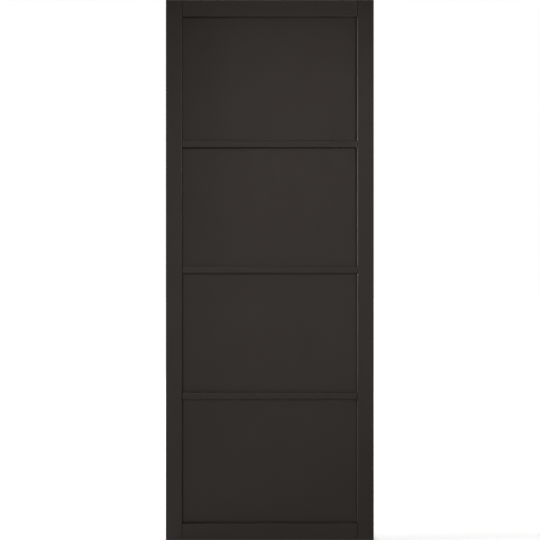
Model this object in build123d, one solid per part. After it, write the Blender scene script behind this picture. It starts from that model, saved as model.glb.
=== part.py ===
from build123d import *
import os
from dataclasses import dataclass

# Four-panel interior door leaf, in millimetres.
# Two full-height stiles carry a top rail, a bottom rail and three slim cross bars between them. Four flat
# panels sit in grooves round their edges. Each cross member has stub tenons that fill the stiles' grooves,
# and fluted dowels pin it there. Stiles, rails and bars lie flush, and their eased edges make a shallow
# V along each joint. The back is the same as the front.
# X runs across the leaf, Y through it with the front face towards -Y, and Z up from the bottom edge.

# Leaf
LEAF_WIDTH = 762.0
LEAF_HEIGHT = 1981.0
LEAF_THICKNESS = 35.0

# Frame members, by the face that shows
STILE_WIDTH = 60.0
TOP_RAIL_HEIGHT = 62.0
BOTTOM_RAIL_HEIGHT = 62.0
BAR_HEIGHT = 25.0
BAR_SPACING = 461.5  # from bar to bar, with the middle bar at half the leaf's height

# Edges
INNER_ARRIS_RADIUS = 3.0  # round-over beside the panels and on both sides of each V
OUTER_ARRIS_RADIUS = 1.0  # eased long edges of the leaf

# Panels and the grooves that hold them
PANEL_THICKNESS = 12.0
PANEL_CHEEK_CLEARANCE = 0.1
PANEL_EDGE_GAP = 1.5  # room for the panel to move, at the bottom of each groove
FRAME_GROOVE_DEPTH = 10.0
BAR_GROOVE_DEPTH = 6.0

# Stub tenons
TENON_CHEEK_CLEARANCE = 0.1
TENON_END_GAP = 1.0

# Dowels
RAIL_DOWEL_DIAMETER = 10.0
RAIL_DOWEL_LENGTH = 90.0
RAIL_DOWEL_COUNT = 2
RAIL_DOWEL_PITCH = 26.0
BAR_DOWEL_DIAMETER = 8.0
BAR_DOWEL_LENGTH = 70.0
BAR_DOWEL_COUNT = 1
DOWEL_HOLE_CLEARANCE = 0.1  # all round the dowel
DOWEL_END_GAP = 2.0  # room for glue past each end
DOWEL_CHAMFER = 1.0
FLUTE_COUNT = 8
FLUTE_SIDE = 0.8  # of the square cutter whose corner makes each V-shaped flute

CUT_OVERRUN = 1.0  # how far a cutter passes the face that it starts from

# Sizes that follow
HALF_WIDTH = LEAF_WIDTH / 2
SHOULDER_X = HALF_WIDTH - STILE_WIDTH
OPENING_WIDTH = 2 * SHOULDER_X
GROOVE_WIDTH = PANEL_THICKNESS + 2 * PANEL_CHEEK_CLEARANCE
TENON_THICKNESS = GROOVE_WIDTH - 2 * TENON_CHEEK_CLEARANCE
TENON_LENGTH = FRAME_GROOVE_DEPTH - TENON_END_GAP
PANEL_WIDTH = OPENING_WIDTH + 2 * (FRAME_GROOVE_DEPTH - PANEL_EDGE_GAP)
SIDES = (-1, 1)


@dataclass(frozen=True)
class DowelKind:
    """A size of dowel, and how many of them pin one end of a cross member."""

    diameter: float
    length: float
    count: int
    pitch: float

    @property
    def reach(self):
        """How far a hole goes past the shoulder, on either side of it."""
        return self.length / 2 + DOWEL_END_GAP


@dataclass(frozen=True)
class CrossMember:
    """A rail or bar: its lower edge's height, its own height, and the grooves in its two long edges."""

    name: str
    base: float
    height: float
    lower_groove: float
    upper_groove: float
    dowel: DowelKind

    @property
    def top(self):
        return self.base + self.height

    @property
    def tenon_height(self):
        return self.height - self.lower_groove - self.upper_groove

    @property
    def dowel_heights(self):
        """Heights of the dowels at one end, spread evenly about the middle of the tenon."""
        middle = self.base + self.lower_groove + self.tenon_height / 2
        first = middle - self.dowel.pitch * (self.dowel.count - 1) / 2
        return [first + self.dowel.pitch * i for i in range(self.dowel.count)]


RAIL_DOWEL = DowelKind(RAIL_DOWEL_DIAMETER, RAIL_DOWEL_LENGTH, RAIL_DOWEL_COUNT, RAIL_DOWEL_PITCH)
BAR_DOWEL = DowelKind(BAR_DOWEL_DIAMETER, BAR_DOWEL_LENGTH, BAR_DOWEL_COUNT, 0)


def cross_members():
    """The rails and bars, from the bottom of the leaf to the top."""
    lowest_bar = LEAF_HEIGHT / 2 - BAR_SPACING - BAR_HEIGHT / 2
    bars = [
        CrossMember(
            name, lowest_bar + i * BAR_SPACING, BAR_HEIGHT, BAR_GROOVE_DEPTH, BAR_GROOVE_DEPTH, BAR_DOWEL
        )
        for i, name in enumerate(("lower_bar", "middle_bar", "upper_bar"))
    ]
    bottom = CrossMember("bottom_rail", 0, BOTTOM_RAIL_HEIGHT, 0, FRAME_GROOVE_DEPTH, RAIL_DOWEL)
    top_base = LEAF_HEIGHT - TOP_RAIL_HEIGHT
    top = CrossMember("top_rail", top_base, TOP_RAIL_HEIGHT, FRAME_GROOVE_DEPTH, 0, RAIL_DOWEL)
    return [bottom, *bars, top]


def bar_along_x(radius, start, end, height):
    """A round bar from one X to another, at mid-thickness and the given height."""
    place = Location((min(start, end), 0, height), (0, 90, 0))
    return place * Cylinder(radius, abs(end - start), align=(Align.CENTER, Align.CENTER, Align.MIN))


def dowel_hole(dowel, start, end, height):
    return bar_along_x(dowel.diameter / 2 + DOWEL_HOLE_CLEARANCE, start, end, height)


def left_stile(members):
    """A full-height stile: its section with both kinds of eased edge and the panel groove, drilled for dowels."""
    section = Rectangle(STILE_WIDTH, LEAF_THICKNESS, align=(Align.MIN, Align.CENTER))
    section = fillet(section.vertices().group_by(Axis.X)[0], OUTER_ARRIS_RADIUS)
    section = fillet(section.vertices().group_by(Axis.X)[-1], INNER_ARRIS_RADIUS)
    groove = Rectangle(FRAME_GROOVE_DEPTH, GROOVE_WIDTH, align=(Align.MAX, Align.CENTER))
    section -= Pos(STILE_WIDTH, 0) * groove
    stile = extrude(Pos(-HALF_WIDTH, 0) * section, LEAF_HEIGHT)
    groove_bottom = -SHOULDER_X - FRAME_GROOVE_DEPTH
    for member in members:
        for height in member.dowel_heights:
            stile -= dowel_hole(
                member.dowel, groove_bottom + CUT_OVERRUN, -SHOULDER_X - member.dowel.reach, height
            )
    return stile


def cross_member_blank(member):
    """The member between its shoulders, with a groove and eased edges along each side that holds a panel."""
    section = Rectangle(LEAF_THICKNESS, member.height, align=(Align.CENTER, Align.MIN))
    if member.lower_groove:
        section -= Rectangle(GROOVE_WIDTH, member.lower_groove, align=(Align.CENTER, Align.MIN))
    if member.upper_groove:
        groove = Rectangle(GROOVE_WIDTH, member.upper_groove, align=(Align.CENTER, Align.MAX))
        section -= Pos(0, member.height) * groove
    run = extrude(Plane.YZ * section, SHOULDER_X, both=True)
    eased = []
    for face in run.faces().filter_by(Plane.XZ).group_by(SortBy.AREA)[-1]:
        bottom, *ends, top = face.edges().sort_by(Axis.Z)
        eased += ends + [bottom] * bool(member.lower_groove) + [top] * bool(member.upper_groove)
    return fillet(eased, INNER_ARRIS_RADIUS)


def cross_member(member):
    """A rail or bar: its blank, with a stub tenon on each end and the dowel holes drilled through the tenons."""
    tenons = Pos(0, 0, member.lower_groove) * Box(
        OPENING_WIDTH + 2 * TENON_LENGTH,
        TENON_THICKNESS,
        member.tenon_height,
        align=(Align.CENTER, Align.CENTER, Align.MIN),
    )
    solid = Pos(0, 0, member.base) * (cross_member_blank(member) + tenons)
    tenon_end = SHOULDER_X + TENON_LENGTH
    for side in SIDES:
        for height in member.dowel_heights:
            solid -= dowel_hole(
                member.dowel,
                side * (tenon_end + CUT_OVERRUN),
                side * (SHOULDER_X - member.dowel.reach),
                height,
            )
    return solid


def panel(below, above):
    """A flat panel that reaches into the grooves of the two cross members and of both stiles."""
    low = below.top - below.upper_groove + PANEL_EDGE_GAP
    high = above.base + above.lower_groove - PANEL_EDGE_GAP
    align = (Align.CENTER, Align.CENTER, Align.MIN)
    return Pos(0, 0, low) * Box(PANEL_WIDTH, PANEL_THICKNESS, high - low, align=align)


def dowel(kind):
    """A fluted dowel along X about the origin, with chamfered ends."""
    radius = kind.diameter / 2
    flute = Rectangle(FLUTE_SIDE, FLUTE_SIDE, rotation=45)
    section = Circle(radius) - PolarLocations(radius, FLUTE_COUNT) * flute
    half = kind.length / 2
    outline = Polygon(
        (0, -half),
        (radius - DOWEL_CHAMFER, -half),
        (radius, DOWEL_CHAMFER - half),
        (radius, half - DOWEL_CHAMFER),
        (radius - DOWEL_CHAMFER, half),
        (0, half),
        align=None,
    )
    turned = revolve(Plane.XZ * outline, Axis.Z)
    return Rotation(0, 90, 0) * (extrude(section, half, both=True) & turned)


def dowels(kind, members):
    """One dowel in every hole drilled for its kind, each centred on its joint's shoulder."""
    pin = dowel(kind)
    return Compound(
        [
            Pos(side * SHOULDER_X, 0, height) * pin.solid()
            for member in members
            if member.dowel == kind
            for side in SIDES
            for height in member.dowel_heights
        ]
    )


def door_leaf():
    """Every piece of the leaf, by its node's name."""
    members = cross_members()
    stile = left_stile(members)
    nodes = {"left_stile": stile, "right_stile": mirror(stile, about=Plane.YZ)}
    nodes.update({member.name: cross_member(member) for member in members})
    panel_names = ("bottom_panel", "lower_middle_panel", "upper_middle_panel", "top_panel")
    for name, below, above in zip(panel_names, members, members[1:]):
        nodes[name] = panel(below, above)
    nodes["rail_dowels"] = dowels(RAIL_DOWEL, members)
    nodes["bar_dowels"] = dowels(BAR_DOWEL, members)
    return nodes


os.makedirs("parts", exist_ok=True)
for node, shape in door_leaf().items():
    export_step(shape, f"parts/{node}.step")
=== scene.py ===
"""Four-panel door leaf: painted stiles, rails, bars and panels, pinned with dowels, in a white studio."""
import logging
import math
from dataclasses import dataclass
from enum import Enum
from typing import Iterable, Mapping, Sequence

import bmesh
import bpy
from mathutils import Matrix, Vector


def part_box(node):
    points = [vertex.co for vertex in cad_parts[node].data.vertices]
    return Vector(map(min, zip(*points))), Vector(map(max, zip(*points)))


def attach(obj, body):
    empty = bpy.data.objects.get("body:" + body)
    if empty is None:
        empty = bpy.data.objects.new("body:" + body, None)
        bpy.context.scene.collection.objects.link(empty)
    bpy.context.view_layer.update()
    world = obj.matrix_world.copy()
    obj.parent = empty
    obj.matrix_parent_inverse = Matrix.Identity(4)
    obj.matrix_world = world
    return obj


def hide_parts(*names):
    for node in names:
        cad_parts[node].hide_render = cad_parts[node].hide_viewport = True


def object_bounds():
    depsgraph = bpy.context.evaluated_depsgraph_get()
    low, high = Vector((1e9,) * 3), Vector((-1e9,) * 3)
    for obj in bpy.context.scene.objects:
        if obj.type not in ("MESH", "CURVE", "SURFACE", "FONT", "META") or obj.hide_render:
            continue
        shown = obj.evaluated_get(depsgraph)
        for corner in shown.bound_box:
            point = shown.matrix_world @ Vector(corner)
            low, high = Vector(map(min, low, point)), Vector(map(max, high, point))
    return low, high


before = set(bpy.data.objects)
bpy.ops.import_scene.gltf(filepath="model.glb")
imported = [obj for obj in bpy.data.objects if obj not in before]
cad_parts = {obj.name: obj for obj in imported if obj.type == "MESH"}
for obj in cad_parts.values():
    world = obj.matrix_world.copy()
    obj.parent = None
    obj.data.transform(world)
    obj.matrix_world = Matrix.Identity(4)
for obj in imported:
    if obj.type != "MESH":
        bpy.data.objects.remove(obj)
CAD_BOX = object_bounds()

LOG = logging.getLogger("door_leaf")
BODY = "root"
MM = 0.001

# Edges, as sanded and then rounded a little more by the paint
INNER_ARRIS = 3.0 * MM  # beside the panels and on both sides of each V
OUTER_ARRIS = 1.0 * MM  # the leaf's long edges
SOFT_ARRIS = 0.4 * MM  # every other edge
ARRIS_STEPS = 6
SHARP_ANGLE = math.radians(35)

# Joinery
FRAME_GROOVE_DEPTH = 10.0 * MM
BAR_GROOVE_DEPTH = 6.0 * MM
CHEEK_CLEARANCE = 0.1 * MM
RAIL_DOWEL_DIAMETER = 10.0 * MM
RAIL_DOWEL_LENGTH = 90.0 * MM
RAIL_DOWEL_PITCH = 26.0 * MM  # between the two dowels in a rail's end
BAR_DOWEL_DIAMETER = 8.0 * MM
BAR_DOWEL_LENGTH = 70.0 * MM
BORE_CLEARANCE = 0.1 * MM  # all round a dowel
GLUE_ROOM = 2.0 * MM  # past each end of a dowel
TOUCH = 0.01 * MM  # nearer than this counts as the same place
BOTH_WAYS = (-1, 1)

# The stiles' inner edges, the leaf's faces and the grooves, from the frame
LEAF_LOW, LEAF_HIGH = CAD_BOX
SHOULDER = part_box("right_stile")[0].x
HALF_LEAF = LEAF_HIGH.y
HALF_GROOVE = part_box("top_panel")[1].y + CHEEK_CLEARANCE

# The Mix node's sockets go by number, because those for colours and for numbers share their names
COLOUR_A, COLOUR_B, MIXED_COLOUR = 6, 7, 2
NUMBER_A, NUMBER_B, MIXED_NUMBER = 2, 3, 0

NOISE_LOW, NOISE_HIGH = 0.3, 0.7  # nearly all the values of a noise texture lie between these


class Side(Enum):
    """The leaf's two long sides, by the sign of X."""

    LEFT = -1
    RIGHT = 1


class Grain(Enum):
    """Which way a board's grain runs in the leaf."""

    UPRIGHT = "upright"
    CROSSWISE = "crosswise"

    def repeats(self, across: float, along: float) -> tuple[float, float, float]:
        """Finds how often a pattern repeats in a metre.

        Args:
            across: The pattern's size across the grain, in metres.
            along: Its size along the grain, in metres.

        Returns:
            The repeats on X, Y and Z.
        """
        fine, drawn_out = 1 / across, 1 / along
        return (fine, fine, drawn_out) if self is Grain.UPRIGHT else (drawn_out, fine, fine)


def linear(hex_colour: str) -> tuple[float, float, float, float]:
    """Turns an sRGB hex colour to linear.

    Args:
        hex_colour: Six hex digits.

    Returns:
        Red, green, blue and an alpha of 1.
    """
    shares = [part / 255 for part in bytes.fromhex(hex_colour)]
    red, green, blue = (s / 12.92 if s <= 0.04045 else ((s + 0.055) / 1.055) ** 2.4 for s in shares)
    return red, green, blue, 1.0


def add_node(
    tree: bpy.types.NodeTree, kind: str, inputs: Mapping[str | int, object], **settings: object
) -> bpy.types.Node:
    """Adds a node with its settings and links.

    Args:
        tree: The tree that gets the node.
        kind: The node's type.
        inputs: What goes into each input, by name or number: a value, or another node's output.
        settings: The node's own properties.

    Returns:
        The new node.
    """
    node = tree.nodes.new(kind)
    for key, value in settings.items():
        setattr(node, key, value)
    for key, value in inputs.items():
        if isinstance(value, bpy.types.NodeSocket):
            tree.links.new(value, node.inputs[key])
        else:
            node.inputs[key].default_value = value
    return node


def new_material(name: str) -> tuple[bpy.types.Material, bpy.types.NodeTree]:
    """Makes an empty node material.

    Args:
        name: The finish's name.

    Returns:
        The material and its tree.
    """
    material = bpy.data.materials.new(name)
    material.use_nodes = True
    material.node_tree.nodes.clear()
    return material, material.node_tree


@dataclass(frozen=True)
class SatinPaint:
    """Satin door paint, sprayed: an even dark umber grey with a soft broad sheen and a faint orange peel.

    Over timber the grain still shows through as long shallow ripples. Over smooth board there is none.
    """

    name: str
    grain: Grain | None = None
    colour: str = "312925"
    thin_colour: str = "352D29"
    roughness: tuple[float, float] = (0.40, 0.48)
    peel_pitch: float = 3.0 * MM  # a little coarser than sprayed paint has it, so that it shows
    peel_height: float = 0.016 * MM
    ripple_pitch: float = 5.0 * MM
    ripple_length: float = 260.0 * MM
    ripple_height: float = 0.030 * MM
    cloud_size: float = 170.0 * MM
    sheen_size: float = 55.0 * MM

    def material(self) -> bpy.types.Material:
        """Builds the paint.

        Returns:
            A material that reads object coordinates.
        """
        material, tree = new_material(self.name)
        place = add_node(tree, "ShaderNodeTexCoord", {}).outputs["Object"]
        cloud = add_node(
            tree, "ShaderNodeTexNoise", {"Vector": place, "Scale": 1 / self.cloud_size, "Detail": 3.0}
        )
        colour = add_node(
            tree,
            "ShaderNodeMix",
            {"Factor": cloud.outputs["Fac"]}
            | {COLOUR_A: linear(self.colour), COLOUR_B: linear(self.thin_colour)},
            data_type="RGBA",
        )
        sheen = add_node(
            tree, "ShaderNodeTexNoise", {"Vector": place, "Scale": 1 / self.sheen_size, "Detail": 4.0}
        )
        roughness = add_node(
            tree,
            "ShaderNodeMapRange",
            {"Value": sheen.outputs["Fac"], "From Min": NOISE_LOW, "From Max": NOISE_HIGH}
            | {"To Min": self.roughness[0], "To Max": self.roughness[1]},
        )
        peel = add_node(
            tree, "ShaderNodeTexNoise", {"Vector": place, "Scale": 1 / self.peel_pitch, "Detail": 2.0}
        )
        surface = add_node(
            tree, "ShaderNodeBump", {"Height": peel.outputs["Fac"], "Distance": self.peel_height}
        )
        if self.grain:
            fibres = add_node(
                tree,
                "ShaderNodeMapping",
                {"Vector": place, "Scale": self.grain.repeats(self.ripple_pitch, self.ripple_length)},
            )
            ripple = add_node(
                tree,
                "ShaderNodeTexNoise",
                {"Vector": fibres.outputs["Vector"], "Scale": 1.0, "Detail": 3.0, "Distortion": 0.4},
            )
            surface = add_node(
                tree,
                "ShaderNodeBump",
                {"Height": ripple.outputs["Fac"], "Distance": self.ripple_height}
                | {"Normal": surface.outputs["Normal"]},
            )
        paint = add_node(
            tree,
            "ShaderNodeBsdfPrincipled",
            {"Base Color": colour.outputs[MIXED_COLOUR], "Roughness": roughness.outputs["Result"]}
            | {"Normal": surface.outputs["Normal"], "IOR": 1.5},
        )
        add_node(tree, "ShaderNodeOutputMaterial", {"Surface": paint.outputs["BSDF"]})
        return material


@dataclass(frozen=True)
class BareWood:
    """Wood with no finish: matt, with darker lines along the grain and fine fibres."""

    name: str
    grain: Grain
    early_colour: str
    late_colour: str
    line_pitch: float
    line_length: float
    roughness: float = 0.72
    fibre_pitch: float = 0.6 * MM
    fibre_length: float = 14.0 * MM
    fibre_height: float = 0.02 * MM

    def material(self) -> bpy.types.Material:
        """Builds the wood.

        Returns:
            A material that reads object coordinates.
        """
        material, tree = new_material(self.name)
        place = add_node(tree, "ShaderNodeTexCoord", {}).outputs["Object"]
        lines = add_node(
            tree,
            "ShaderNodeMapping",
            {"Vector": place, "Scale": self.grain.repeats(self.line_pitch, self.line_length)},
        )
        rings = add_node(
            tree,
            "ShaderNodeTexNoise",
            {"Vector": lines.outputs["Vector"], "Scale": 1.0, "Detail": 4.0, "Distortion": 0.8},
        )
        colour = add_node(
            tree,
            "ShaderNodeMix",
            {"Factor": rings.outputs["Fac"]}
            | {COLOUR_A: linear(self.early_colour), COLOUR_B: linear(self.late_colour)},
            data_type="RGBA",
        )
        strands = add_node(
            tree,
            "ShaderNodeMapping",
            {"Vector": place, "Scale": self.grain.repeats(self.fibre_pitch, self.fibre_length)},
        )
        fibres = add_node(
            tree, "ShaderNodeTexNoise", {"Vector": strands.outputs["Vector"], "Scale": 1.0, "Detail": 2.0}
        )
        surface = add_node(
            tree, "ShaderNodeBump", {"Height": fibres.outputs["Fac"], "Distance": self.fibre_height}
        )
        wood = add_node(
            tree,
            "ShaderNodeBsdfPrincipled",
            {"Base Color": colour.outputs[MIXED_COLOUR], "Roughness": self.roughness, "IOR": 1.5}
            | {"Normal": surface.outputs["Normal"]},
        )
        add_node(tree, "ShaderNodeOutputMaterial", {"Surface": wood.outputs["BSDF"]})
        return material


@dataclass(frozen=True)
class PlanedPine(BareWood):
    """Pine as the planer leaves it: pale straw, with long darker lines some millimetres apart."""

    early_colour: str = "DDBB8C"
    late_colour: str = "B98A55"
    line_pitch: float = 6.0 * MM
    line_length: float = 300.0 * MM


@dataclass(frozen=True)
class TurnedBeech(BareWood):
    """Beech as the lathe leaves it: an even pinkish tan, with short darker flecks."""

    early_colour: str = "D0AA80"
    late_colour: str = "B98C61"
    line_pitch: float = 1.6 * MM
    line_length: float = 24.0 * MM


def new_piece(
    name: str, mesh: bpy.types.Mesh, materials: Iterable[bpy.types.Material]
) -> bpy.types.Object:
    """Puts a mesh in the scene as an object at the origin.

    Args:
        name: The piece's name.
        mesh: Its mesh, in place.
        materials: Its finishes, in the order of the faces' numbers.

    Returns:
        The new object.
    """
    for material in materials:
        mesh.materials.append(material)
    piece = bpy.data.objects.new(name, mesh)
    bpy.context.scene.collection.objects.link(piece)
    return piece


def piece_of(
    name: str, work: bmesh.types.BMesh, materials: Iterable[bpy.types.Material]
) -> bpy.types.Object:
    """Puts an edited mesh in the scene and frees it.

    Args:
        name: The piece's name.
        work: The mesh, in place.
        materials: Its finishes, in the order of the faces' numbers.

    Returns:
        The new object.
    """
    mesh = bpy.data.meshes.new(name)
    work.to_mesh(mesh)
    work.free()
    return new_piece(name, mesh, materials)


def settle(piece: bpy.types.Object) -> None:
    """Turns a piece and its modifiers into a plain mesh.

    Args:
        piece: The piece, which keeps its name and place.
    """
    bpy.context.view_layer.update()
    graph = bpy.context.evaluated_depsgraph_get()
    mesh = bpy.data.meshes.new_from_object(piece.evaluated_get(graph), depsgraph=graph)
    piece.modifiers.clear()
    piece.data = mesh


def shade(piece: bpy.types.Object) -> None:
    """Shades a piece so that its flats stay flat and its arrises look round.

    Args:
        piece: The piece, as a plain mesh.
    """
    piece.data.shade_smooth()
    piece.data.set_sharp_from_angle(angle=SHARP_ANGLE)
    normals = piece.modifiers.new("flat_faces", "WEIGHTED_NORMAL")
    normals.keep_sharp = True
    settle(piece)


def join_leaf(piece: bpy.types.Object, slot: str, *nodes: str) -> None:
    """Fixes a piece to the leaf.

    Args:
        piece: The finished piece.
        slot: The record's material slot for its finish. Not used.
        nodes: The construction's nodes that it stands for.
    """
    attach(piece, BODY)
    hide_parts(*nodes)
    LOG.info("%s: %d faces, stands for %s", piece.name, len(piece.data.polygons), ", ".join(nodes))


def close_between(
    work: bmesh.types.BMesh, first: Sequence[bmesh.types.BMVert], second: Sequence[bmesh.types.BMVert]
) -> None:
    """Sets a face between each side of one ring of corners and the same side of another.

    Args:
        work: The mesh that gets the faces.
        first: The one ring, in order.
        second: The other ring, in the same order.
    """
    for i in range(len(first)):
        j = (i + 1) % len(first)
        work.faces.new((first[i], first[j], second[j], second[i]))


def spot(y: float, z: float) -> tuple[int, int]:
    """Gives a place on Y and Z in whole steps of TOUCH, to find a corner by."""
    return round(y / TOUCH), round(z / TOUCH)


@dataclass(frozen=True)
class Board:
    """A timber member: its sawn blank is a closed mesh, which is then eased, bored and shaded."""

    node: str
    name: str

    @staticmethod
    def blank(
        outline: Sequence[tuple[float, float]], low: float, high: float, grain: Grain
    ) -> bmesh.types.BMesh:
        """Runs an outline along the grain, with open ends.

        Args:
            outline: The section's corners in order, on X and Y upright, or on Y and Z crosswise.
            low: Where the run starts.
            high: Where it ends.
            grain: Which way it runs.

        Returns:
            The sides of the blank.
        """
        work = bmesh.new()
        ends = []
        for level in (low, high):
            points = [(u, v, level) if grain is Grain.UPRIGHT else (level, u, v) for u, v in outline]
            ends.append([work.verts.new(point) for point in points])
        close_between(work, *ends)
        return work

    def arris(self, a: Vector, b: Vector) -> float:
        """Gives the rounding of the outside corner between two points."""
        raise NotImplementedError

    def is_bare(self, middle: Vector) -> bool:
        """Tells if the face about a point is left without paint."""
        raise NotImplementedError

    def finish(
        self,
        work: bmesh.types.BMesh,
        bits: Iterable[bpy.types.Object],
        paint: bpy.types.Material,
        bare: bpy.types.Material,
    ) -> None:
        """Paints the blank's faces, rounds its edges, bores the dowel holes and fixes it to the leaf.

        Args:
            work: The closed blank.
            bits: The shapes that the bores leave.
            paint: The finish of its outside.
            bare: The finish of what the joints hide.
        """
        bmesh.ops.recalc_face_normals(work, faces=work.faces)
        for face in work.faces:
            face.material_index = int(self.is_bare(face.calc_center_median()))
        share = work.edges.layers.float.new("bevel_weight_edge")
        for edge in work.edges:
            if edge.is_convex and edge.calc_face_angle(0) > SHARP_ANGLE:
                edge[share] = self.arris(*(v.co for v in edge.verts)) / INNER_ARRIS
        piece = piece_of(self.name, work, (paint, bare))
        bevel = piece.modifiers.new("arrises", "BEVEL")
        bevel.limit_method = "WEIGHT"
        bevel.width = INNER_ARRIS
        bevel.segments = ARRIS_STEPS
        bevel.material = 0
        for bit in bits:
            bore = piece.modifiers.new("bores", "BOOLEAN")
            bore.operation = "DIFFERENCE"
            bore.solver = "EXACT"
            bore.material_mode = "TRANSFER"
            bore.object = bit
        settle(piece)
        shade(piece)
        join_leaf(piece, "frame_paint", self.node)


@dataclass(frozen=True)
class Stile(Board):
    """A full-height side member with a panel groove in its inner edge."""

    side: Side
    groove: float = FRAME_GROOVE_DEPTH

    def arris(self, a: Vector, b: Vector) -> float:
        """Gives the rounding of an outside corner: most along the panels and joints.

        Args:
            a: One end of the corner.
            b: Its other end.

        Returns:
            The radius.
        """
        if abs(a.y) < HALF_LEAF - TOUCH or abs(a.z - b.z) < TOUCH:
            return SOFT_ARRIS
        return INNER_ARRIS if abs(a.x) < SHOULDER + TOUCH else OUTER_ARRIS

    def is_bare(self, middle: Vector) -> bool:
        """Tells if the face about a point is in the groove."""
        return abs(middle.y) < HALF_GROOVE + TOUCH and abs(middle.x) < SHOULDER + self.groove + TOUCH

    def build(
        self, bits: Iterable[bpy.types.Object], paint: bpy.types.Material, bare: bpy.types.Material
    ) -> None:
        """Makes the stile and fixes it to the leaf.

        Args:
            bits: The shapes of its dowel bores.
            paint: The finish of its outside.
            bare: The finish of its groove and bores.
        """
        low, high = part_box(self.node)
        sign = self.side.value
        outer, inner = sign * LEAF_HIGH.x, sign * SHOULDER
        floor = inner + sign * self.groove
        half = [(outer, -HALF_LEAF), (inner, -HALF_LEAF), (inner, -HALF_GROOVE), (floor, -HALF_GROOVE)]
        outline = half + [(x, -y) for x, y in reversed(half)]
        work = self.blank(outline, low.z, high.z, Grain.UPRIGHT)
        for level in (low.z, high.z):
            work.faces.new([v for v in work.verts if abs(v.co.z - level) < TOUCH])
        self.finish(work, bits, paint, bare)


@dataclass(frozen=True)
class CrossMember(Board):
    """A rail or bar between the stiles: stub tenons, and a groove along each side that holds a panel."""

    lower_groove: float
    upper_groove: float

    @property
    def middle(self) -> float:
        """The height of its tenons' middle."""
        low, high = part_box(self.node)
        return (low.z + self.lower_groove + high.z - self.upper_groove) / 2

    def arris(self, a: Vector, b: Vector) -> float:
        """Gives the rounding of an outside corner: most along the panels and joints.

        Args:
            a: One end of the corner.
            b: Its other end.

        Returns:
            The radius.
        """
        if min(abs(a.y), abs(b.y)) < HALF_LEAF - TOUCH or abs(a.y - b.y) > TOUCH:
            return SOFT_ARRIS
        at_joint = abs(a.x - b.x) < TOUCH
        at_panel = self.upper_groove if a.z > self.middle else self.lower_groove
        return INNER_ARRIS if at_joint or at_panel else SOFT_ARRIS

    def is_bare(self, middle: Vector) -> bool:
        """Tells if a face is on a shoulder, on a tenon or in a groove.

        Args:
            middle: The face's middle.

        Returns:
            True where the joints hide it.
        """
        low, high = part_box(self.node)
        hidden = abs(middle.y) < HALF_GROOVE + TOUCH or abs(middle.x) > SHOULDER - TOUCH
        return hidden and low.z + TOUCH < middle.z < high.z - TOUCH

    def build(
        self, bits: Iterable[bpy.types.Object], paint: bpy.types.Material, bare: bpy.types.Material
    ) -> None:
        """Makes the member and fixes it to the leaf.

        Args:
            bits: The shapes of its dowel bores.
            paint: The finish of its outside.
            bare: The finish of its grooves, tenons and bores.
        """
        low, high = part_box(self.node)
        web_low, web_high = low.z + self.lower_groove, high.z - self.upper_groove
        half = [(-HALF_LEAF, low.z), (-HALF_GROOVE, low.z)]
        half += [(-HALF_GROOVE, web_low)] * bool(self.lower_groove)
        upper = [(-HALF_GROOVE, web_high)] * bool(self.upper_groove)
        upper += [(-HALF_GROOVE, high.z), (-HALF_LEAF, high.z)]
        mirrored = [(-y, z) for y, z in reversed(half)]
        outline = half + mirrored + [(-y, z) for y, z in reversed(upper)] + upper
        work = self.blank(outline, -SHOULDER, SHOULDER, Grain.CROSSWISE)
        self.close_ends(work, (low.z, high.z), (web_low, web_high), high.x - SHOULDER)
        self.finish(work, bits, paint, bare)

    @staticmethod
    def close_ends(
        work: bmesh.types.BMesh, faces: tuple[float, float], web: tuple[float, float], tenon: float
    ) -> None:
        """Closes both ends with a shoulder before and behind a stub tenon.

        Args:
            work: The blank's sides.
            faces: The member's lowest and highest level.
            web: The tenon's lowest and highest level.
            tenon: The tenon's length.
        """
        levels = sorted({*faces, *web})
        cheeks = (-HALF_GROOVE, HALF_GROOVE)
        for side in Side:
            end = side.value * SHOULDER
            corner = {spot(v.co.y, v.co.z): v for v in work.verts if abs(v.co.x - end) < TOUCH}
            for way in BOTH_WAYS:
                outer, inner = way * HALF_LEAF, way * HALF_GROOVE
                shoulder = [(inner, z) for z in levels] + [(outer, faces[1]), (outer, faces[0])]
                work.faces.new([corner[spot(y, z)] for y, z in shoulder])
            base = [(y, web[0]) for y in cheeks] + [(y, web[1]) for y in reversed(cheeks)]
            root = [corner[spot(y, z)] for y, z in base]
            tip = [work.verts.new(v.co + Vector((side.value * tenon, 0, 0))) for v in root]
            close_between(work, root, tip)
            work.faces.new(tip)


@dataclass(frozen=True)
class Panel:
    """A flat board that sits loose in the grooves, painted all over before it goes in."""

    node: str
    name: str
    arris: float = 0.6 * MM
    arris_steps: int = 3

    def build(self, paint: bpy.types.Material) -> None:
        """Makes the panel and fixes it to the leaf.

        Args:
            paint: Its finish.
        """
        low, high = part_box(self.node)
        work = bmesh.new()
        bmesh.ops.create_cube(work, size=1)
        for vert in work.verts:
            vert.co = [a + (c + 0.5) * (b - a) for a, b, c in zip(low, high, vert.co)]
        piece = piece_of(self.name, work, (paint,))
        bevel = piece.modifiers.new("arrises", "BEVEL")
        bevel.width = self.arris
        bevel.segments = self.arris_steps
        settle(piece)
        shade(piece)
        join_leaf(piece, "panel_paint", self.node)


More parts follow.
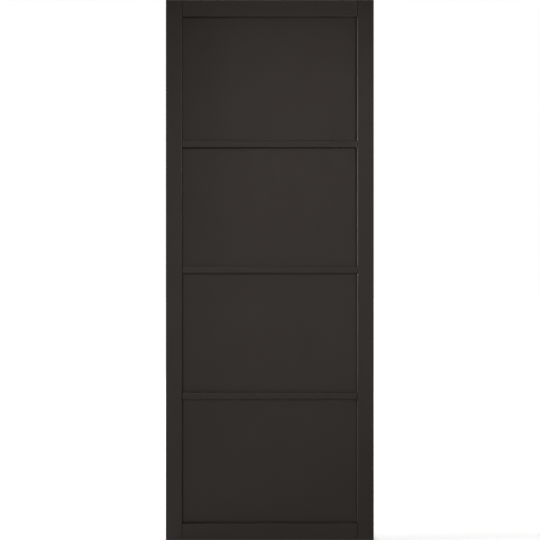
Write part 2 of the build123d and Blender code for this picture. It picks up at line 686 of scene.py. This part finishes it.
@dataclass(frozen=True)
class DowelSet:
    """The dowels of one size: a fluted pin on every shoulder that is drilled for it."""

    node: str
    name: str
    diameter: float
    length: float
    chamfer: float = 1.0 * MM
    flutes: int = 8
    flute_depth: float = 0.55 * MM
    steps_per_flute: int = 6
    stations: int = 4  # along a pin: its two ends, and the two roots of their chamfers

    def sums(self) -> dict[str, tuple[str, str | float, str | float]]:
        """Lists the pin's arithmetic in order.

        Returns:
            Each result's name, operation and two terms: numbers, the tree's inputs or earlier results.
        """
        return {
            "around": ("MULTIPLY", "Flutes", self.steps_per_flute),
            # how much each point of the section is pulled in: the first of each flute, by its depth
            "step": ("MODULO", "index", self.steps_per_flute),
            "in_flute": ("LESS_THAN", "step", 0.5),
            "depth_share": ("DIVIDE", "Flute Depth", "Radius"),
            "cut": ("MULTIPLY", "in_flute", "depth_share"),
            "pull": ("SUBTRACT", 1.0, "cut"),
            # where the stations stand along the pin, counted from its middle
            "from_middle": ("SUBTRACT", "index", (self.stations - 1) / 2),
            "far": ("ABSOLUTE", "from_middle", 0.0),
            "at_end": ("GREATER_THAN", "far", 1.0),
            "at_root": ("SUBTRACT", 1.0, "at_end"),
            "set_back": ("MULTIPLY", "at_root", "Chamfer"),
            "half": ("MULTIPLY", "Length", 0.5),
            "reach": ("SUBTRACT", "half", "set_back"),
            "way": ("SIGN", "from_middle", 0.0),
            "station": ("MULTIPLY", "way", "reach"),
            # how thick the pin is at each station
            "chamfer_share": ("DIVIDE", "Chamfer", "Radius"),
            "taper": ("MULTIPLY", "at_end", "chamfer_share"),
            "girth": ("SUBTRACT", 1.0, "taper"),
        }

    def tree(self) -> bpy.types.NodeTree:
        """Builds the nodes that set a fluted, chamfered pin along X on each point.

        Returns:
            The tree, with the pin's sizes as named inputs.
        """
        tree = bpy.data.node_groups.new("fluted_pins", "GeometryNodeTree")
        sockets = {
            "Points": "Geometry",
            "Radius": "Float",
            "Length": "Float",
            "Chamfer": "Float",
            "Flutes": "Int",
            "Flute Depth": "Float",
            "Material": "Material",
        }
        for name, kind in sockets.items():
            tree.interface.new_socket(name, in_out="INPUT", socket_type=f"NodeSocket{kind}")
        tree.interface.new_socket("Pins", in_out="OUTPUT", socket_type="NodeSocketGeometry")
        given = add_node(tree, "NodeGroupInput", {}).outputs
        index = add_node(tree, "GeometryNodeInputIndex", {}).outputs["Index"]
        place = add_node(tree, "GeometryNodeInputPosition", {}).outputs["Position"]
        found = {socket.name: socket for socket in given} | {"index": index}
        for name, (operation, *terms) in self.sums().items():
            inputs = {i: found.get(term, term) for i, term in enumerate(terms)}
            found[name] = add_node(tree, "ShaderNodeMath", inputs, operation=operation).outputs[0]

        circle = add_node(
            tree,
            "GeometryNodeCurvePrimitiveCircle",
            {"Resolution": found["around"], "Radius": given["Radius"]},
        )
        pulled_in = add_node(
            tree, "ShaderNodeVectorMath", {"Vector": place, "Scale": found["pull"]}, operation="SCALE"
        )
        section = add_node(
            tree,
            "GeometryNodeSetPosition",
            {"Geometry": circle.outputs["Curve"], "Position": pulled_in.outputs["Vector"]},
        )
        line = add_node(tree, "GeometryNodeCurvePrimitiveLine", {"End": (1.0, 0.0, 0.0)})
        stations = add_node(
            tree, "GeometryNodeResampleCurve", {"Curve": line.outputs["Curve"], "Count": self.stations}
        )
        along = add_node(tree, "ShaderNodeCombineXYZ", {"X": found["station"]})
        axis = add_node(
            tree,
            "GeometryNodeSetPosition",
            {"Geometry": stations.outputs["Curve"], "Position": along.outputs["Vector"]},
        )
        pin = add_node(
            tree,
            "GeometryNodeCurveToMesh",
            {"Curve": axis.outputs["Geometry"], "Profile Curve": section.outputs["Geometry"]}
            | {"Scale": found["girth"], "Fill Caps": True},
        )
        flat = add_node(
            tree, "GeometryNodeSetShadeSmooth", {"Geometry": pin.outputs["Mesh"], "Shade Smooth": False}
        )
        pins = add_node(
            tree,
            "GeometryNodeInstanceOnPoints",
            {"Points": given["Points"], "Instance": flat.outputs["Geometry"]},
        )
        real = add_node(tree, "GeometryNodeRealizeInstances", {"Geometry": pins.outputs["Instances"]})
        dressed = add_node(
            tree,
            "GeometryNodeSetMaterial",
            {"Geometry": real.outputs["Geometry"], "Material": given["Material"]},
        )
        add_node(tree, "NodeGroupOutput", {0: dressed.outputs["Geometry"]})
        return tree

    def pins(
        self, name: str, heights: Sequence[float], material: bpy.types.Material, changes: dict[str, float]
    ) -> bpy.types.Object:
        """Sets a pin on both shoulders at each height.

        Args:
            name: The new object's name.
            heights: The pins' heights.
            material: Their finish.
            changes: The tree's inputs that differ from the dowel's own sizes, by name.

        Returns:
            The pins as one plain mesh.
        """
        sizes = {
            "Radius": self.diameter / 2,
            "Length": self.length,
            "Chamfer": self.chamfer,
            "Flutes": self.flutes,
            "Flute Depth": self.flute_depth,
            "Material": material,
        }
        sizes.update(changes)
        mesh = bpy.data.meshes.new(name)
        mesh.from_pydata([(s.value * SHOULDER, 0, z) for s in Side for z in heights], [], [])
        piece = new_piece(name, mesh, ())
        modifier = piece.modifiers.new("pins", "NODES")
        modifier.node_group = self.tree()
        for socket in modifier.node_group.interface.items_tree:
            if socket.name in sizes:
                modifier[socket.identifier] = sizes[socket.name]
        settle(piece)
        piece.data.materials.clear()
        piece.data.materials.append(material)
        return piece

    def bit(self, heights: Sequence[float], bare: bpy.types.Material) -> bpy.types.Object:
        """Makes the shapes that the bores leave in stiles and cross members.

        Args:
            heights: The bores' heights.
            bare: The finish of their walls.

        Returns:
            A working object, to be removed when the boards are bored.
        """
        bore = {
            "Radius": self.diameter / 2 + BORE_CLEARANCE,
            "Length": self.length + 2 * GLUE_ROOM,
            "Flute Depth": 0.0,
        }
        return self.pins(f"{self.name}_bit", heights, bare, bore)

    def build(self, heights: Sequence[float], wood: bpy.types.Material) -> None:
        """Makes the dowels at their heights, in their wood, and fixes them to the leaf."""
        join_leaf(self.pins(self.name, heights, wood, {}), "dowel_beech", self.node)


@dataclass(frozen=True)
class Softbox:
    """A soft lamp: where it hangs, what it faces, its power, how wide it shines and its size in metres."""

    name: str
    place: tuple[float, float, float]
    aim: tuple[float, float, float]
    watts: float
    spread: float = 180.0
    size: tuple[float, float] = (0.8, 0.8)

    def hang(self) -> None:
        """Adds the lamp to the scene."""
        lamp = bpy.data.lights.new(self.name, "AREA")
        lamp.shape = "RECTANGLE"
        lamp.size, lamp.size_y = self.size
        lamp.energy = self.watts
        lamp.spread = math.radians(self.spread)
        holder = bpy.data.objects.new(self.name, lamp)
        holder.location = self.place
        towards = Vector(self.aim) - Vector(self.place)
        holder.rotation_euler = towards.to_track_quat("-Z", "Y").to_euler()
        holder.visible_camera = False
        bpy.context.scene.collection.objects.link(holder)


@dataclass(frozen=True)
class Studio:
    """A white studio: pale floor, soft lamps, and a camera square to the leaf, which fills its height."""

    floor_half: float = 30.0
    floor_gap: float = 0.5 * MM
    floor_colour: str = "DCDCDA"
    near_glow: float = 0.62  # of the floor about the leaf, for the camera
    far_glow: float = 0.95
    glow_from: float = 0.6  # from the leaf's middle
    glow_to: float = 4.0
    ambient: float = 0.2
    reflected: float = 0.06
    camera_distance: float = 3.4
    camera_step: float = 0.7 * MM  # aside, because the leaf isn't quite in the picture's middle
    overfill: float = 1.4 * MM  # of the leaf past the picture's top and bottom
    lamps: tuple[Softbox, ...] = (
        Softbox("right_high_softbox", place=(2.5, -2.5, 2.0), aim=(0.1, 0, 1.5), watts=1.25, spread=28),
        Softbox("right_low_softbox", place=(1.5, -3.0, 0.9), aim=(0.1, 0, 0.5), watts=0.35, spread=30),
        Softbox("left_high_softbox", place=(-0.7, -3.6, 3.2), aim=(-0.05, 0, 0.8), watts=0.85, spread=28),
        Softbox("left_low_softbox", place=(-1.7, -3.0, 1.0), aim=(-0.1, 0, 0.6), watts=0.3, spread=30),
        Softbox(
            "low_softbox", place=(0.9, -3.2, 0.5), aim=(0.1, 0, 2.0), watts=0.35, spread=22, size=(0.6, 0.6)
        ),
        Softbox(
            "left_strip", place=(-5.0, -0.25, 2.0), aim=(0.3, 0, 1.2), watts=32, spread=60, size=(0.5, 2.2)
        ),
        Softbox("rear_softbox", place=(-2.4, 3.6, 2.6), aim=(0, 0, 1.0), watts=120, size=(2.2, 2.2)),
    )

    def build(self) -> None:
        """Sets up the floor, the light and the camera."""
        self.lay_floor()
        self.light()
        self.set_camera()
        bpy.context.scene.view_settings.view_transform = "Standard"

    def lay_floor(self) -> None:
        """Lays a pale floor that the camera sees as white, with the leaf's shadow on it."""
        material, tree = new_material("pale_studio_floor")
        matt = add_node(tree, "ShaderNodeBsdfDiffuse", {"Color": linear(self.floor_colour)})
        place = add_node(tree, "ShaderNodeTexCoord", {}).outputs["Object"]
        away = add_node(tree, "ShaderNodeVectorMath", {0: place}, operation="LENGTH")
        reach = add_node(
            tree,
            "ShaderNodeMapRange",
            {"Value": away.outputs["Value"], "From Min": self.glow_from, "From Max": self.glow_to}
            | {"To Min": self.near_glow, "To Max": self.far_glow},
        )
        seen = add_node(tree, "ShaderNodeLightPath", {}).outputs["Is Camera Ray"]
        glow = add_node(
            tree, "ShaderNodeMath", {0: seen, 1: reach.outputs["Result"]}, operation="MULTIPLY"
        )
        white = add_node(tree, "ShaderNodeEmission", {"Strength": glow.outputs[0]})
        both = add_node(tree, "ShaderNodeAddShader", {0: matt.outputs[0], 1: white.outputs[0]})
        add_node(tree, "ShaderNodeOutputMaterial", {"Surface": both.outputs[0]})
        mesh = bpy.data.meshes.new("floor")
        half, level = self.floor_half, LEAF_LOW.z - self.floor_gap
        corners = [(-half, -half, level), (half, -half, level), (half, half, level), (-half, half, level)]
        mesh.from_pydata(corners, [], [(0, 1, 2, 3)])
        new_piece("floor", mesh, (material,))

    def light(self) -> None:
        """Hangs the lamps in a room that the camera sees as white and the paint reflects dimly."""
        world = bpy.data.worlds.new("white_room")
        world.use_nodes = True
        tree = world.node_tree
        tree.nodes.clear()
        path = add_node(tree, "ShaderNodeLightPath", {}).outputs
        room = add_node(
            tree,
            "ShaderNodeMix",
            {"Factor": path["Is Glossy Ray"], NUMBER_A: self.ambient, NUMBER_B: self.reflected},
        ).outputs[MIXED_NUMBER]
        seen = add_node(
            tree,
            "ShaderNodeMath",
            {0: path["Is Camera Ray"], 1: path["Is Transmission Ray"]},
            operation="MAXIMUM",
        ).outputs[0]
        strength = add_node(
            tree, "ShaderNodeMix", {"Factor": seen, NUMBER_A: room, NUMBER_B: 1.0}
        ).outputs[MIXED_NUMBER]
        sky = add_node(tree, "ShaderNodeBackground", {"Color": (1, 1, 1, 1), "Strength": strength})
        add_node(tree, "ShaderNodeOutputWorld", {"Surface": sky.outputs[0]})
        bpy.context.scene.world = world
        for lamp in self.lamps:
            lamp.hang()

    def set_camera(self) -> None:
        """Stands the camera square to the leaf's front, at half its height."""
        data = bpy.data.cameras.new("camera")
        middle = (LEAF_LOW + LEAF_HIGH) / 2
        half_height = (LEAF_HIGH.z - LEAF_LOW.z) / 2 - self.overfill
        data.angle = 2 * math.atan(half_height / self.camera_distance)
        camera = bpy.data.objects.new("camera", data)
        camera.location = (middle.x + self.camera_step, LEAF_LOW.y - self.camera_distance, middle.z)
        camera.rotation_euler = (math.radians(90), 0, 0)
        bpy.context.scene.collection.objects.link(camera)
        bpy.context.scene.camera = camera


def main() -> None:
    """Builds the leaf piece by piece and sets it in the studio."""
    logging.basicConfig(level=logging.INFO, format="%(message)s")
    # Satin paint sprayed over pine: dark umber grey, with the grain as long shallow ripples in its sheen
    paint = {
        grain: SatinPaint(f"satin_paint_sprayed_on_{grain.value}_pine", grain).material() for grain in Grain
    }
    # The same paint over smooth fibreboard: no grain and a shade paler, so that the panels look flat
    panel_paint = SatinPaint(
        "satin_paint_sprayed_on_fibreboard", colour="332B27", thin_colour="372F2B"
    ).material()
    # Planed pine with no finish: pale straw with darker lines along the board, matt, hidden in the joints
    pine = {grain: PlanedPine(f"planed_pine_{grain.value}", grain).material() for grain in Grain}
    # Turned beech with no finish: an even pinkish tan with short darker flecks, matt
    beech = TurnedBeech("turned_beech", Grain.CROSSWISE).material()

    rails = [
        CrossMember("bottom_rail", "rail_bottom", lower_groove=0, upper_groove=FRAME_GROOVE_DEPTH),
        CrossMember("top_rail", "rail_top", lower_groove=FRAME_GROOVE_DEPTH, upper_groove=0),
    ]
    bars = [
        CrossMember(f"{level}_bar", f"bar_{level}", BAR_GROOVE_DEPTH, BAR_GROOVE_DEPTH)
        for level in ("lower", "middle", "upper")
    ]
    rail_dowels = DowelSet("rail_dowels", "dowels_rail", RAIL_DOWEL_DIAMETER, RAIL_DOWEL_LENGTH)
    bar_dowels = DowelSet("bar_dowels", "dowels_bar", BAR_DOWEL_DIAMETER, BAR_DOWEL_LENGTH)
    rail_heights = [rail.middle + way * RAIL_DOWEL_PITCH / 2 for rail in rails for way in BOTH_WAYS]
    bar_heights = [bar.middle for bar in bars]

    rail_bit = rail_dowels.bit(rail_heights, pine[Grain.CROSSWISE])
    bar_bit = bar_dowels.bit(bar_heights, pine[Grain.CROSSWISE])
    for side in Side:
        name = side.name.lower()
        stile = Stile(f"{name}_stile", f"stile_{name}", side)
        stile.build((rail_bit, bar_bit), paint[Grain.UPRIGHT], pine[Grain.UPRIGHT])
    for members, bit in ((rails, rail_bit), (bars, bar_bit)):
        for member in members:
            member.build((bit,), paint[Grain.CROSSWISE], pine[Grain.CROSSWISE])
        bpy.data.objects.remove(bit)
    for level in ("top", "upper_middle", "lower_middle", "bottom"):
        Panel(f"{level}_panel", f"panel_{level}").build(panel_paint)
    rail_dowels.build(rail_heights, beech)
    bar_dowels.build(bar_heights, beech)
    Studio().build()


if __name__ == "__main__":
    main()
